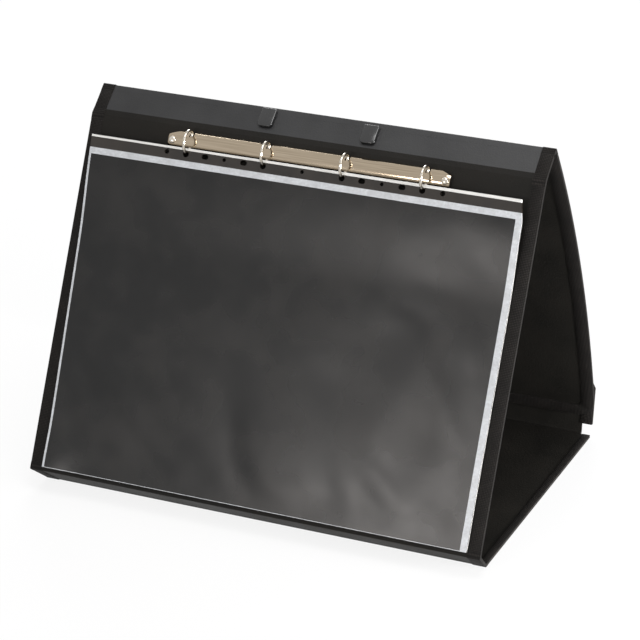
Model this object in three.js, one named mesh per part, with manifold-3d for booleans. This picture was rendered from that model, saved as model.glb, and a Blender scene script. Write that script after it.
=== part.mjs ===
// Easel binder: a landscape ring binder whose boards fold into a tent and stand on a table.
// Millimetres. X runs along the folds, Y from the front to the back, Z is up.
import * as THREE from 'three';
import { mergeVertices } from 'three/addons/utils/BufferGeometryUtils.js';
import Module from 'manifold-3d';

const wasm = await Module();
wasm.setup();

// Boards: length of each fold, and distance from fold to fold
const PANEL_WIDTH = 460;
const BASE_SIDE_INSET = 3.5;
const BASE_LENGTH = 300.3;
const FORE_EDGE_DEPTH = 32.5;
const RING_PANEL_LENGTH = 346;
const SPINE_DEPTH = 32.5;
const COVER_FOOT_SETBACK = 2.82;
const COVER_FOOT_HEIGHT = 22.14;
const COVER_BOW = 17;
const COVER_CORNER_RADIUS = 18;
const FLAP_HEIGHT = 58;
const FLAP_CHAMFER_WIDE = 6;
const FLAP_CHAMFER_TALL = 10;
const REAR_NOTCH_DEPTH = 10;
const REAR_NOTCH_ON_BASE = 4.5;
const REAR_NOTCH_ON_FLAP = 10;

// Angle of each board above the table, turned about its lower or nearer fold
const FORE_EDGE_ANGLE = 141.5;
const RING_PANEL_ANGLE = 64.6;
const SPINE_ANGLE = 40.5;
const FLAP_ANGLE = 82.5;

// Board section: each edge is pared thin beside a fold, which turns on a round cord
const BOARD_THICKNESS = 2;
const PARED_THICKNESS = 0.8;
const PARED_LENGTH = 3.7;
const FOLD_CORD_RADIUS = 1;
const GAP = 0.3;

// Binding tape around the free edges
const TAPE_WIDTH = 12;
const TAPE_THICKNESS = 0.5;
const TAPE_END_FROM_FOLD = 8;

// Ring mechanism, measured down from the upper fold and up from the board's face
const MECHANISM_CENTRE = 14.2;
const PLATE_LENGTH = 286;
const PLATE_WIDTH = 20;
const PLATE_HEIGHT = 6;
const PLATE_THICKNESS = 0.8;
const PLATE_END_WIDTH = 12;
const PLATE_TAPER_LENGTH = 14;
const RING_PITCH = 80;
const RING_COUNT = 4;
const RING_ROW_OFFSET = -1;
const RING_RADIUS = 10.8;
const RING_CENTRE_HEIGHT = 8.7;
const RING_WIRE_RADIUS = 1.4;
const RING_SLOT_WIDTH = 4.4;
const RING_FOOT_ANGLE = 15;
const RAIL_HEIGHT = 3.6;
const RAIL_WIDTH = 4.7;
const RAIL_THICKNESS = 0.8;
const RAIL_LENGTH = 268;
const RIVET_INSET = 4.5;
const RIVET_HEAD_RADIUS = 3.5;
const RIVET_HEAD_HEIGHT = 1.6;
const RIVET_SHANK_RADIUS = 1.5;

// Pack of display sleeves with its punched strip on the rings
const SLEEVE_SIDE_INSET = 13;
const SLEEVE_FOOT_INSET = 3.4;
const PACK_THICKNESS = 5;
const STRIP_THICKNESS = 3;
const STRIP_LENGTH = 12.2;
const STRIP_RAMP = 90;
const RING_HOLE_RADIUS = 3;
const RING_HOLE_INSET = 5.7;
const SMALL_HOLE_RADIUS = 1.8;
const ROUND_HOLE_RADIUS = 2.4;
const OVAL_HOLE_LENGTH = 7;
const SLEEVE_CORNER_RADIUS = 4;

// Carrying strap behind the spine, with its two end stops on the inner side
const STOP_SPACING = 105;
const STOP_WIDTH = 15;
const STOP_DEPTH = 18;
const STOP_THICKNESS = 3;
const STOP_FROM_TOP_FOLD = 2;
const STRAP_WIDTH = 13;
const STRAP_THICKNESS = 2.2;
const STRAP_OVERHANG = 6;
const STRAP_SLOT_CLEARANCE = 0.4;
const STRAP_TAIL_ROOT = 0.1;

// Hook-and-loop pads between the cover's lower edge and the rear flap
const PAD_LENGTH = 60;
const PAD_HEIGHT = 14;
const PAD_THICKNESS = 1.2;
const PAD_SIDE_INSET = 76.5;
const PAD_EDGE_INSET = 2;
const FLAP_PAD_START = 24;

const BASE_WIDTH = PANEL_WIDTH - 2 * BASE_SIDE_INSET;
const SLEEVE_WIDTH = PANEL_WIDTH - 2 * SLEEVE_SIDE_INSET;
const HALF_BOARD = BOARD_THICKNESS / 2;
const EDGE_START = FOLD_CORD_RADIUS + GAP;
const CLEAR_OF_BOARD = HALF_BOARD + GAP;
const TAPE_OUTSIDE = CLEAR_OF_BOARD + TAPE_THICKNESS;
const FLOOR_TO_AXIS = TAPE_OUTSIDE;
const MUCH = 1000;
const ARC_STEPS = 20;

const BLACK_COVER = new THREE.Color(0x222220);
const SPINE_GREY = new THREE.Color(0x3a3a3a);
const TAPE_BLACK = new THREE.Color(0x1d1a17);
const NICKEL = new THREE.Color(0xb9b2a4);
const SLEEVE_BLACK = new THREE.Color(0x2b2a29);
const GLOSS_BLACK = new THREE.Color(0x111111);
const PAD_BLACK = new THREE.Color(0x181818);

const radians = THREE.MathUtils.degToRad;

// Closed solids and the joins and cuts between them

function solidOf(geometry) {
  const bare = geometry.clone();
  bare.deleteAttribute('normal');
  bare.deleteAttribute('uv');
  const merged = mergeVertices(bare, 1e-5);
  return new wasm.Manifold(new wasm.Mesh({
    numProp: 3,
    vertProperties: Float32Array.from(merged.attributes.position.array),
    triVerts: Uint32Array.from(merged.index.array),
  }));
}

function geometryOf(solid) {
  const mesh = solid.getMesh();
  const geometry = new THREE.BufferGeometry();
  geometry.setAttribute('position', new THREE.BufferAttribute(mesh.vertProperties, 3));
  geometry.setIndex(new THREE.BufferAttribute(mesh.triVerts, 1));
  geometry.computeVertexNormals();
  return geometry;
}

// An outline of [x, y] points or a shape, made solid from z = low to z = high
function slab(outline, low, high) {
  const shape = Array.isArray(outline)
    ? new THREE.Shape(outline.map(([x, y]) => new THREE.Vector2(x, y)))
    : outline;
  const geometry = new THREE.ExtrudeGeometry(shape, {
    depth: high - low,
    bevelEnabled: false,
    curveSegments: 8,
  });
  geometry.translate(0, 0, low);
  return solidOf(geometry);
}

// A side profile of [y, z] points, made solid from x = from to x = to
function extrusionAlongX(profile, from, to) {
  const shape = new THREE.Shape(profile.map(([y, z]) => new THREE.Vector2(y, z)));
  const geometry = new THREE.ExtrudeGeometry(shape, { depth: to - from, bevelEnabled: false });
  const turn = new THREE.Matrix4().makeBasis(
    new THREE.Vector3(0, 1, 0),
    new THREE.Vector3(0, 0, 1),
    new THREE.Vector3(1, 0, 0),
  );
  geometry.applyMatrix4(turn);
  geometry.translate(from, 0, 0);
  return solidOf(geometry);
}

function box(x0, x1, y0, y1, z0, z1) {
  const geometry = new THREE.BoxGeometry(x1 - x0, y1 - y0, z1 - z0);
  geometry.translate((x0 + x1) / 2, (y0 + y1) / 2, (z0 + z1) / 2);
  return solidOf(geometry);
}

function postAlongZ(radius, x, y, low, high, sides = 16) {
  const geometry = new THREE.CylinderGeometry(radius, radius, high - low, sides);
  geometry.rotateX(Math.PI / 2);
  geometry.translate(x, y, (low + high) / 2);
  return solidOf(geometry);
}

function cutAll(solid, cutters) {
  return cutters.reduce((left, cutter) => left.subtract(cutter), solid);
}

// Named meshes

function piece(name, solid, color, roughness, metalness = 0) {
  const material = new THREE.MeshStandardMaterial({ color, roughness, metalness });
  const mesh = new THREE.Mesh(geometryOf(solid), material);
  mesh.name = name;
  return mesh;
}

const covered = (name, solid) => piece(name, solid, BLACK_COVER, 0.55);
const taped = (name, solid) => piece(name, solid, TAPE_BLACK, 0.8);
const plated = (name, solid) => piece(name, solid, NICKEL, 0.2, 1);
const padded = (name, solid) => piece(name, solid, PAD_BLACK, 0.95);

// Flat boards

// Side profile of a board that runs from one fold at y = 0 to another at y = length.
// With a free far edge the board keeps its full thickness there.
function boardProfile(length, farEdgeIsFold) {
  const thin = PARED_THICKNESS / 2;
  const full = EDGE_START + PARED_LENGTH;
  const upper = [[EDGE_START, thin], [full, HALF_BOARD]];
  if (farEdgeIsFold) {
    upper.push([length - full, HALF_BOARD], [length - EDGE_START, thin]);
  } else {
    upper.push([length, HALF_BOARD]);
  }
  const lower = upper.map(([y, z]) => [y, -z]).reverse();
  return [...upper, ...lower].reverse();
}

function board(length, outline, farEdgeIsFold = true) {
  const raw = extrusionAlongX(boardProfile(length, farEdgeIsFold), -MUCH, MUCH);
  return raw.intersect(slab(outline, -HALF_BOARD, HALF_BOARD));
}

// Outline that narrows or widens evenly from y = 0 to y = length, cut at from and to,
// and grown sideways by margin
function taperedOutline(widthAtStart, widthAtEnd, length, from, to, margin) {
  const half = (y) => (widthAtStart + (widthAtEnd - widthAtStart) * y / length) / 2 + margin;
  return [[-half(from), from], [half(from), from], [half(to), to], [-half(to), to]];
}

// Binding tape folded around one side edge of a board; side is -1 or 1
function sideTape(widthAtStart, widthAtEnd, length, side, endFromFold = TAPE_END_FROM_FOLD) {
  const outline = (from, to, margin) =>
    taperedOutline(widthAtStart, widthAtEnd, length, from, to, margin);
  const outside = slab(
    outline(endFromFold, length - endFromFold, GAP + TAPE_THICKNESS),
    -TAPE_OUTSIDE,
    TAPE_OUTSIDE,
  );
  const room = slab(outline(0, length, GAP), -CLEAR_OF_BOARD, CLEAR_OF_BOARD);
  const window = slab(outline(0, length, -TAPE_WIDTH), -TAPE_OUTSIDE * 2, TAPE_OUTSIDE * 2);
  const half = box(Math.min(0, side * MUCH), Math.max(0, side * MUCH), 0, length, -MUCH, MUCH);
  return cutAll(outside, [room, window]).intersect(half);
}

function bothTapes(name, widthAtStart, widthAtEnd, length, endFromFold) {
  return [['left', -1], ['right', 1]].map(([word, side]) =>
    taped(`${name}_tape_${word}`,
      sideTape(widthAtStart, widthAtEnd, length, side, endFromFold)));
}

function foldCord(name, length) {
  const geometry = new THREE.CylinderGeometry(FOLD_CORD_RADIUS, FOLD_CORD_RADIUS, length, 12);
  geometry.rotateZ(Math.PI / 2);
  return covered(name, solidOf(geometry));
}

// A group whose X axis lies on a fold and whose Y axis runs along the board
function foldFrame(y, z, degrees) {
  const frame = new THREE.Group();
  frame.position.set(0, y, z);
  frame.rotation.x = radians(degrees);
  return frame;
}

// Where a fold lies at the far end of a board
function farFold(start, degrees, length) {
  return {
    y: start.y + length * Math.cos(radians(degrees)),
    z: start.z + length * Math.sin(radians(degrees)),
  };
}

// The folds, from the base's front edge round to the cover

const frontFold = { y: 0, z: FLOOR_TO_AXIS };
const rearFold = { y: BASE_LENGTH, z: FLOOR_TO_AXIS };
const lowerFold = farFold(frontFold, FORE_EDGE_ANGLE, FORE_EDGE_DEPTH);
const upperFold = farFold(lowerFold, RING_PANEL_ANGLE, RING_PANEL_LENGTH);
const topFold = farFold(upperFold, SPINE_ANGLE, SPINE_DEPTH);

// The cover hangs from the top fold to its foot in front of the rear flap
const coverFoot = { y: rearFold.y - COVER_FOOT_SETBACK, z: rearFold.z + COVER_FOOT_HEIGHT };
const COVER_CHORD = Math.hypot(coverFoot.y - topFold.y, coverFoot.z - topFold.z);
const COVER_ANGLE = THREE.MathUtils.radToDeg(
  Math.atan2(coverFoot.z - topFold.z, coverFoot.y - topFold.y),
);

// Base, rear flap and fore edge

function baseOutline() {
  const half = BASE_WIDTH / 2;
  const notched = half - REAR_NOTCH_DEPTH;
  const notchStart = BASE_LENGTH - REAR_NOTCH_ON_BASE;
  return [
    [-half, 0], [half, 0], [half, notchStart], [notched, notchStart],
    [notched, BASE_LENGTH], [-notched, BASE_LENGTH], [-notched, notchStart], [-half, notchStart],
  ];
}

function flapOutline(margin) {
  const half = BASE_WIDTH / 2 + margin;
  const notched = half - REAR_NOTCH_DEPTH;
  const top = FLAP_HEIGHT + margin;
  const cut = FLAP_CHAMFER_WIDE;
  return [
    [-notched, 0], [notched, 0], [notched, REAR_NOTCH_ON_FLAP],
    [half, REAR_NOTCH_ON_FLAP], [half, top - FLAP_CHAMFER_TALL], [half - cut, top],
    [-half + cut, top], [-half, top - FLAP_CHAMFER_TALL], [-half, REAR_NOTCH_ON_FLAP],
    [-notched, REAR_NOTCH_ON_FLAP],
  ];
}

function buildBase(frame) {
  frame.add(covered('base_panel', board(BASE_LENGTH, baseOutline())));
  frame.add(...bothTapes('base', BASE_WIDTH, BASE_WIDTH, BASE_LENGTH));
  frame.add(foldCord('fold_cord_front', BASE_WIDTH));
  const rear = foldCord('fold_cord_rear', BASE_WIDTH - 2 * REAR_NOTCH_DEPTH);
  rear.position.y = BASE_LENGTH;
  frame.add(rear);
}

function flapTape() {
  const margin = GAP + TAPE_THICKNESS;
  const outside = slab(flapOutline(margin), -TAPE_OUTSIDE, TAPE_OUTSIDE);
  const room = slab(flapOutline(GAP), -CLEAR_OF_BOARD, CLEAR_OF_BOARD);
  const window = slab(flapOutline(-TAPE_WIDTH), -TAPE_OUTSIDE * 2, TAPE_OUTSIDE * 2);
  const belowTape = box(-MUCH, MUCH, -MUCH, REAR_NOTCH_ON_FLAP + GAP, -MUCH, MUCH);
  return cutAll(outside, [room, window, belowTape]);
}

const padPlace = BASE_WIDTH / 2 - PAD_SIDE_INSET;

function padBox(x, from) {
  return box(x - PAD_LENGTH / 2, x + PAD_LENGTH / 2, from, from + PAD_HEIGHT, 0, PAD_THICKNESS);
}

function buildFlap(frame) {
  frame.add(covered('flap_panel', board(FLAP_HEIGHT, flapOutline(0), false)));
  frame.add(taped('flap_tape', flapTape()));
  for (const [word, side] of [['left', -1], ['right', 1]]) {
    const pad = padBox(side * padPlace, FLAP_PAD_START);
    frame.add(padded(`hook_pad_${word}`, pad.translate([0, 0, CLEAR_OF_BOARD])));
  }
}

function buildForeEdge(frame) {
  const outline = taperedOutline(BASE_WIDTH, PANEL_WIDTH, FORE_EDGE_DEPTH, 0, FORE_EDGE_DEPTH, 0);
  frame.add(covered('fore_edge_strip', board(FORE_EDGE_DEPTH, outline)));
  frame.add(...bothTapes('fore_edge', BASE_WIDTH, PANEL_WIDTH, FORE_EDGE_DEPTH));
  const cord = foldCord('fold_cord_lower', PANEL_WIDTH);
  cord.position.y = FORE_EDGE_DEPTH;
  frame.add(cord);
}

// Ring panel with the ring mechanism and the pack of sleeves

const distanceUpPanel = (fromUpperFold) => RING_PANEL_LENGTH - fromUpperFold;
const plateCentre = distanceUpPanel(MECHANISM_CENTRE);
const ringPlaces = Array.from({ length: RING_COUNT }, (_, i) =>
  RING_ROW_OFFSET + (i - (RING_COUNT - 1) / 2) * RING_PITCH);
const rivetPlaces = [-1, 1].map((side) =>
  RING_ROW_OFFSET + side * (PLATE_LENGTH / 2 - RIVET_INSET));

// Arched section of the cover plate: half width across, height up
function archPoints(halfWidth, height, foot) {
  const radius = (halfWidth ** 2 + height ** 2) / (2 * height);
  const reach = Math.asin(halfWidth / radius);
  return Array.from({ length: 13 }, (_, i) => {
    const angle = reach * (i / 6 - 1);
    return [radius * Math.sin(angle), foot + height - radius + radius * Math.cos(angle)];
  });
}

function plateOutline() {
  const half = PLATE_LENGTH / 2;
  const shoulder = half - PLATE_TAPER_LENGTH;
  const points = [
    [-half, -PLATE_END_WIDTH / 2], [-shoulder, -PLATE_WIDTH / 2], [shoulder, -PLATE_WIDTH / 2],
    [half, -PLATE_END_WIDTH / 2], [half, PLATE_END_WIDTH / 2], [shoulder, PLATE_WIDTH / 2],
    [-shoulder, PLATE_WIDTH / 2], [-half, PLATE_END_WIDTH / 2],
  ];
  return points.map(([x, y]) => [x + RING_ROW_OFFSET, y + plateCentre]);
}

function coverPlate() {
  const foot = HALF_BOARD + GAP;
  const outer = archPoints(PLATE_WIDTH / 2, PLATE_HEIGHT, foot);
  const inner = archPoints(PLATE_WIDTH / 2 - PLATE_THICKNESS, PLATE_HEIGHT - PLATE_THICKNESS, foot);
  const section = [...outer.reverse(), ...inner].map(([y, z]) => [y + plateCentre, z]);
  const arch = extrusionAlongX(section, -PLATE_LENGTH, PLATE_LENGTH);
  const trimmed = arch.intersect(slab(plateOutline(), 0, MUCH));
  const slots = ringPlaces.flatMap((x) => [-1, 1].map((side) => {
    const near = plateCentre + side * RAIL_WIDTH;
    const far = plateCentre + side * PLATE_WIDTH;
    const wide = RING_SLOT_WIDTH / 2;
    return box(x - wide, x + wide, Math.min(near, far), Math.max(near, far), 0, MUCH);
  }));
  const holes = rivetPlaces.map((x) =>
    postAlongZ(RIVET_SHANK_RADIUS + GAP, x, plateCentre, 0, MUCH));
  return cutAll(trimmed, [...slots, ...holes]);
}

function rivet(x) {
  const plateTop = CLEAR_OF_BOARD + PLATE_HEIGHT;
  const headFoot = plateTop + GAP;
  const backFoot = -HALF_BOARD - GAP;
  const points = [
    [0, backFoot - RIVET_HEAD_HEIGHT / 2],
    [RIVET_HEAD_RADIUS * 0.8, backFoot - RIVET_HEAD_HEIGHT / 2],
    [RIVET_HEAD_RADIUS, backFoot],
    [RIVET_SHANK_RADIUS, backFoot],
    [RIVET_SHANK_RADIUS, headFoot],
    [RIVET_HEAD_RADIUS, headFoot],
    [RIVET_HEAD_RADIUS * 0.75, headFoot + RIVET_HEAD_HEIGHT * 0.7],
    [0, headFoot + RIVET_HEAD_HEIGHT],
  ].map(([r, h]) => new THREE.Vector2(r, h));
  const geometry = new THREE.LatheGeometry(points, 16);
  geometry.rotateX(Math.PI / 2);
  geometry.translate(x, plateCentre, 0);
  return solidOf(geometry);
}

// Both rails lie under the plate and turn about its middle line. The frame's Y axis
// points up the panel, so the upper rail is on the +1 side.
function rail(side) {
  const near = side * GAP;
  const far = side * (GAP + RAIL_WIDTH);
  return box(
    RING_ROW_OFFSET - RAIL_LENGTH / 2,
    RING_ROW_OFFSET + RAIL_LENGTH / 2,
    Math.min(near, far),
    Math.max(near, far),
    -RAIL_THICKNESS / 2,
    RAIL_THICKNESS / 2,
  );
}

// Half of one ring: a foot beside the rail, a bend, and an arc up to the split at the top
function halfRing(x, side) {
  const rise = RING_CENTRE_HEIGHT - RAIL_HEIGHT;
  const onCircle = (angle) => [
    RING_RADIUS * Math.cos(angle),
    rise + RING_RADIUS * Math.sin(angle),
  ];
  const footStart = RAIL_WIDTH + 2 * GAP;
  const bendEnd = onCircle(radians(-RING_FOOT_ANGLE));
  const bendCorner = bendEnd[0] - bendEnd[1] * Math.tan(radians(RING_FOOT_ANGLE));
  const place = ([across, up]) => new THREE.Vector3(x, side * across, up);
  const foot = new THREE.QuadraticBezierCurve3(
    place([footStart, 0]),
    place([bendCorner, 0]),
    place(bendEnd),
  ).getPoints(5);
  const split = Math.PI / 2 - GAP / RING_RADIUS;
  const start = radians(-RING_FOOT_ANGLE);
  const arc = Array.from({ length: 15 }, (_, i) =>
    place(onCircle(start + (split - start) * (i + 1) / 15)));
  const path = new THREE.CatmullRomCurve3([...foot, ...arc], false, 'centripetal');
  const section = new THREE.Shape();
  section.absarc(0, 0, RING_WIRE_RADIUS, 0, 2 * Math.PI);
  const geometry = new THREE.ExtrudeGeometry(section, {
    steps: 22,
    extrudePath: path,
    curveSegments: 5,
  });
  return solidOf(geometry);
}

function buildRail(frame, word, side) {
  frame.add(plated(`${word}_rail`, rail(side)));
  ringPlaces.forEach((x, i) => {
    frame.add(plated(`${word}_half_ring_${i + 1}`, halfRing(x, side)));
  });
}

function ovalAt(x, y, length, radius) {
  const shape = new THREE.Shape();
  const reach = length / 2 - radius;
  shape.absarc(x + reach, y, radius, -Math.PI / 2, Math.PI / 2);
  shape.absarc(x - reach, y, radius, Math.PI / 2, 3 * Math.PI / 2);
  return slab(shape, 0, MUCH);
}

function sleeveOutline(top, bottom) {
  const half = SLEEVE_WIDTH / 2;
  const radius = SLEEVE_CORNER_RADIUS;
  const shape = new THREE.Shape();
  shape.moveTo(half, top);
  shape.lineTo(-half, top);
  shape.lineTo(-half, bottom + radius);
  shape.absarc(-half + radius, bottom + radius, radius, Math.PI, 3 * Math.PI / 2);
  shape.absarc(half - radius, bottom + radius, radius, 3 * Math.PI / 2, 2 * Math.PI);
  return shape;
}

function sleevePack() {
  const holeFromFold = MECHANISM_CENTRE + RING_RADIUS + RING_HOLE_RADIUS
    - RING_WIRE_RADIUS - GAP;
  const holeRow = distanceUpPanel(holeFromFold);
  const top = holeRow + RING_HOLE_INSET;
  const bottom = SLEEVE_FOOT_INSET;
  const stripMiddle = HALF_BOARD + RING_CENTRE_HEIGHT;
  const stripLow = stripMiddle - STRIP_THICKNESS / 2;
  const stripHigh = stripMiddle + STRIP_THICKNESS / 2;
  const packLow = HALF_BOARD + GAP;
  const packHigh = packLow + PACK_THICKNESS;
  const rampTop = top - STRIP_LENGTH;
  const rampFoot = rampTop - STRIP_RAMP;
  const profile = [
    [bottom, packLow], [rampFoot, packLow], [rampTop, stripLow], [top, stripLow],
    [top, stripHigh], [rampTop, stripHigh], [rampFoot, packHigh], [bottom, packHigh],
  ];
  const body = extrusionAlongX(profile, -SLEEVE_WIDTH / 2, SLEEVE_WIDTH / 2)
    .intersect(slab(sleeveOutline(top, bottom), 0, MUCH));
  const ringHoles = ringPlaces.map((x) => postAlongZ(RING_HOLE_RADIUS, x, holeRow, 0, MUCH));
  const middle = RING_ROW_OFFSET;
  const between = RING_PITCH / 4;
  const spareHoles = [-1, 1].flatMap((side) => [
    ovalAt(middle + side * (RING_PITCH - between), holeRow, OVAL_HOLE_LENGTH, ROUND_HOLE_RADIUS),
    postAlongZ(SMALL_HOLE_RADIUS, middle + side * RING_PITCH, holeRow, 0, MUCH, 12),
    ovalAt(middle + side * (RING_PITCH + between), holeRow, OVAL_HOLE_LENGTH, ROUND_HOLE_RADIUS),
    postAlongZ(ROUND_HOLE_RADIUS, middle + side * (2 * RING_PITCH - between), holeRow, 0, MUCH, 12),
  ]);
  const centreHole = postAlongZ(SMALL_HOLE_RADIUS, middle, holeRow, 0, MUCH, 12);
  return cutAll(body, [...ringHoles, ...spareHoles, centreHole]);
}

function buildRingPanel(frame) {
  const outline = taperedOutline(PANEL_WIDTH, PANEL_WIDTH, RING_PANEL_LENGTH,
    0, RING_PANEL_LENGTH, 0);
  const rivetHoles = rivetPlaces.map((x) =>
    postAlongZ(RIVET_SHANK_RADIUS + GAP, x, plateCentre, -MUCH, MUCH));
  frame.add(covered('ring_panel', cutAll(board(RING_PANEL_LENGTH, outline), rivetHoles)));
  frame.add(...bothTapes('ring_panel', PANEL_WIDTH, PANEL_WIDTH, RING_PANEL_LENGTH));
  frame.add(plated('ring_cover_plate', coverPlate()));
  frame.add(plated('plate_rivet_left', rivet(rivetPlaces[0])));
  frame.add(plated('plate_rivet_right', rivet(rivetPlaces[1])));
  frame.add(piece('sleeve_pack', sleevePack(), SLEEVE_BLACK, 0.25));
  const cord = foldCord('fold_cord_upper', PANEL_WIDTH);
  cord.position.y = RING_PANEL_LENGTH;
  frame.add(cord);
  for (const [word, side] of [['upper', 1], ['lower', -1]]) {
    const rails = new THREE.Group();
    rails.position.set(0, plateCentre, HALF_BOARD + RAIL_HEIGHT);
    buildRail(rails, word, side);
    frame.add(rails);
  }
}

// Spine with its carrying strap

const stopPlaces = [-STOP_SPACING / 2, STOP_SPACING / 2];
const stopMiddle = SPINE_DEPTH - STOP_FROM_TOP_FOLD - STOP_DEPTH / 2;

function strapSlot(x) {
  const wide = STRAP_THICKNESS / 2 + STRAP_SLOT_CLEARANCE;
  const deep = STRAP_WIDTH / 2 + STRAP_SLOT_CLEARANCE;
  return box(x - wide, x + wide, stopMiddle - deep, stopMiddle + deep, -MUCH, MUCH);
}

function strap() {
  const back = -CLEAR_OF_BOARD;
  const reach = STOP_SPACING / 2 + STRAP_OVERHANG;
  const low = stopMiddle - STRAP_WIDTH / 2;
  const high = stopMiddle + STRAP_WIDTH / 2;
  const band = box(-reach, reach, low, high, back - STRAP_THICKNESS, back);
  const tails = stopPlaces.map((x) =>
    box(x - STRAP_THICKNESS / 2, x + STRAP_THICKNESS / 2, low, high,
      back - STRAP_TAIL_ROOT, CLEAR_OF_BOARD));
  return tails.reduce((joined, tail) => joined.add(tail), band);
}

function stopOutline(x) {
  const radius = STOP_WIDTH / 4;
  const left = x - STOP_WIDTH / 2;
  const right = x + STOP_WIDTH / 2;
  const low = stopMiddle - STOP_DEPTH / 2;
  const high = stopMiddle + STOP_DEPTH / 2;
  const shape = new THREE.Shape();
  shape.moveTo(right, high);
  shape.lineTo(left, high);
  shape.lineTo(left, low + radius);
  shape.absarc(left + radius, low + radius, radius, Math.PI, 3 * Math.PI / 2);
  shape.absarc(right - radius, low + radius, radius, 3 * Math.PI / 2, 2 * Math.PI);
  return shape;
}

function stop(x) {
  const foot = CLEAR_OF_BOARD + GAP;
  return slab(stopOutline(x), foot, foot + STOP_THICKNESS);
}

function buildSpine(frame) {
  const outline = taperedOutline(PANEL_WIDTH, PANEL_WIDTH, SPINE_DEPTH, 0, SPINE_DEPTH, 0);
  const spine = cutAll(board(SPINE_DEPTH, outline), stopPlaces.map(strapSlot));
  frame.add(piece('spine_panel', spine, SPINE_GREY, 0.4));
  frame.add(...bothTapes('spine', PANEL_WIDTH, PANEL_WIDTH, SPINE_DEPTH));
  frame.add(piece('handle_strap', strap(), GLOSS_BLACK, 0.45));
  frame.add(piece('handle_stop_left', stop(stopPlaces[0]), GLOSS_BLACK, 0.2));
  frame.add(piece('handle_stop_right', stop(stopPlaces[1]), GLOSS_BLACK, 0.2));
  const cord = foldCord('fold_cord_top', PANEL_WIDTH);
  cord.position.y = SPINE_DEPTH;
  frame.add(cord);
}

// Bowed cover: an arc over the chord along Y, with its bulge towards +Z

const bowRadius = (COVER_CHORD ** 2 / 4 + COVER_BOW ** 2) / (2 * COVER_BOW);
const bowReach = Math.asin(COVER_CHORD / 2 / bowRadius);
const coverArcLength = 2 * bowReach * bowRadius;

// Point at a distance along the arc and a height off its middle surface
function onBow(distance, height) {
  const angle = distance / bowRadius - bowReach;
  const radius = bowRadius + height;
  return [
    COVER_CHORD / 2 + radius * Math.sin(angle),
    COVER_BOW - bowRadius + radius * Math.cos(angle),
  ];
}

// One side of a bowed layer, from near the fold to its far end
function bowLine([from, to], height, steps) {
  return Array.from({ length: steps + 1 }, (_, i) =>
    onBow(from + (to - from) * i / steps, height));
}

function bowedLayer(ends, low, high, steps = ARC_STEPS) {
  return [...bowLine(ends, low, steps), ...bowLine(ends, high, steps).reverse()];
}

function coverProfile() {
  const full = EDGE_START + PARED_LENGTH;
  const thin = PARED_THICKNESS / 2;
  const layer = bowedLayer([full, coverArcLength], -HALF_BOARD, HALF_BOARD);
  return [...layer, onBow(EDGE_START, thin), onBow(EDGE_START, -thin)];
}

// Outline seen square to the chord, with rounded lower corners; grown by margin
function coverOutline(margin) {
  const half = PANEL_WIDTH / 2 + margin;
  const end = COVER_CHORD + margin;
  const radius = Math.max(COVER_CORNER_RADIUS + margin, 1);
  const shape = new THREE.Shape();
  shape.moveTo(-half, -MUCH);
  shape.lineTo(half, -MUCH);
  shape.lineTo(half, end - radius);
  shape.absarc(half - radius, end - radius, radius, 0, Math.PI / 2);
  shape.absarc(-half + radius, end - radius, radius, Math.PI / 2, Math.PI);
  return shape;
}

function coverBoard() {
  const raw = extrusionAlongX(coverProfile(), -MUCH, MUCH);
  return raw.intersect(slab(coverOutline(0), -MUCH, MUCH));
}

function coverTape() {
  const margin = GAP + TAPE_THICKNESS;
  const ends = [TAPE_END_FROM_FOLD, coverArcLength + margin];
  const outside = extrusionAlongX(bowedLayer(ends, -TAPE_OUTSIDE, TAPE_OUTSIDE), -MUCH, MUCH)
    .intersect(slab(coverOutline(margin), -MUCH, MUCH));
  const roomEnds = [0, coverArcLength + GAP];
  const room = extrusionAlongX(
    bowedLayer(roomEnds, -CLEAR_OF_BOARD, CLEAR_OF_BOARD), -MUCH, MUCH,
  ).intersect(slab(coverOutline(GAP), -MUCH, MUCH));
  const window = slab(coverOutline(-TAPE_WIDTH), -MUCH, MUCH);
  return cutAll(outside, [room, window]);
}

function buildCover(frame) {
  frame.add(covered('cover_panel', coverBoard()));
  frame.add(taped('cover_tape', coverTape()));
  const low = TAPE_OUTSIDE + GAP;
  const to = coverArcLength - PAD_EDGE_INSET;
  const profile = bowedLayer([to - PAD_HEIGHT, to], low, low + PAD_THICKNESS, 2);
  for (const [word, side] of [['left', -1], ['right', 1]]) {
    const x = side * padPlace;
    const pad = extrusionAlongX(profile, x - PAD_LENGTH / 2, x + PAD_LENGTH / 2);
    frame.add(padded(`loop_pad_${word}`, pad));
  }
}

const binder = new THREE.Group();
for (const [fold, angle, build] of [
  [frontFold, 0, buildBase],
  [rearFold, FLAP_ANGLE, buildFlap],
  [frontFold, FORE_EDGE_ANGLE, buildForeEdge],
  [lowerFold, RING_PANEL_ANGLE, buildRingPanel],
  [upperFold, SPINE_ANGLE, buildSpine],
  [topFold, COVER_ANGLE, buildCover],
]) {
  const frame = foldFrame(fold.y, fold.z, angle);
  build(frame);
  binder.add(frame);
}

// The origin is under the middle of the whole object
binder.updateMatrixWorld(true);
const extent = new THREE.Box3().setFromObject(binder, true);
binder.position.y = -(extent.min.y + extent.max.y) / 2;

export default binder;
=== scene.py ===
# %% [markdown]
# # An easel binder in black covered board
# A landscape ring binder whose hinged boards fold round into a tent and stand on a table.
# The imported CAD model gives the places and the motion. This lesson dresses it: covered
# boards, woven binding tape, a pack of clear sleeves, and a nickel ring mechanism.

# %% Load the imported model
import math

import bmesh
import bpy
from mathutils import Matrix, Vector, noise


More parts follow.
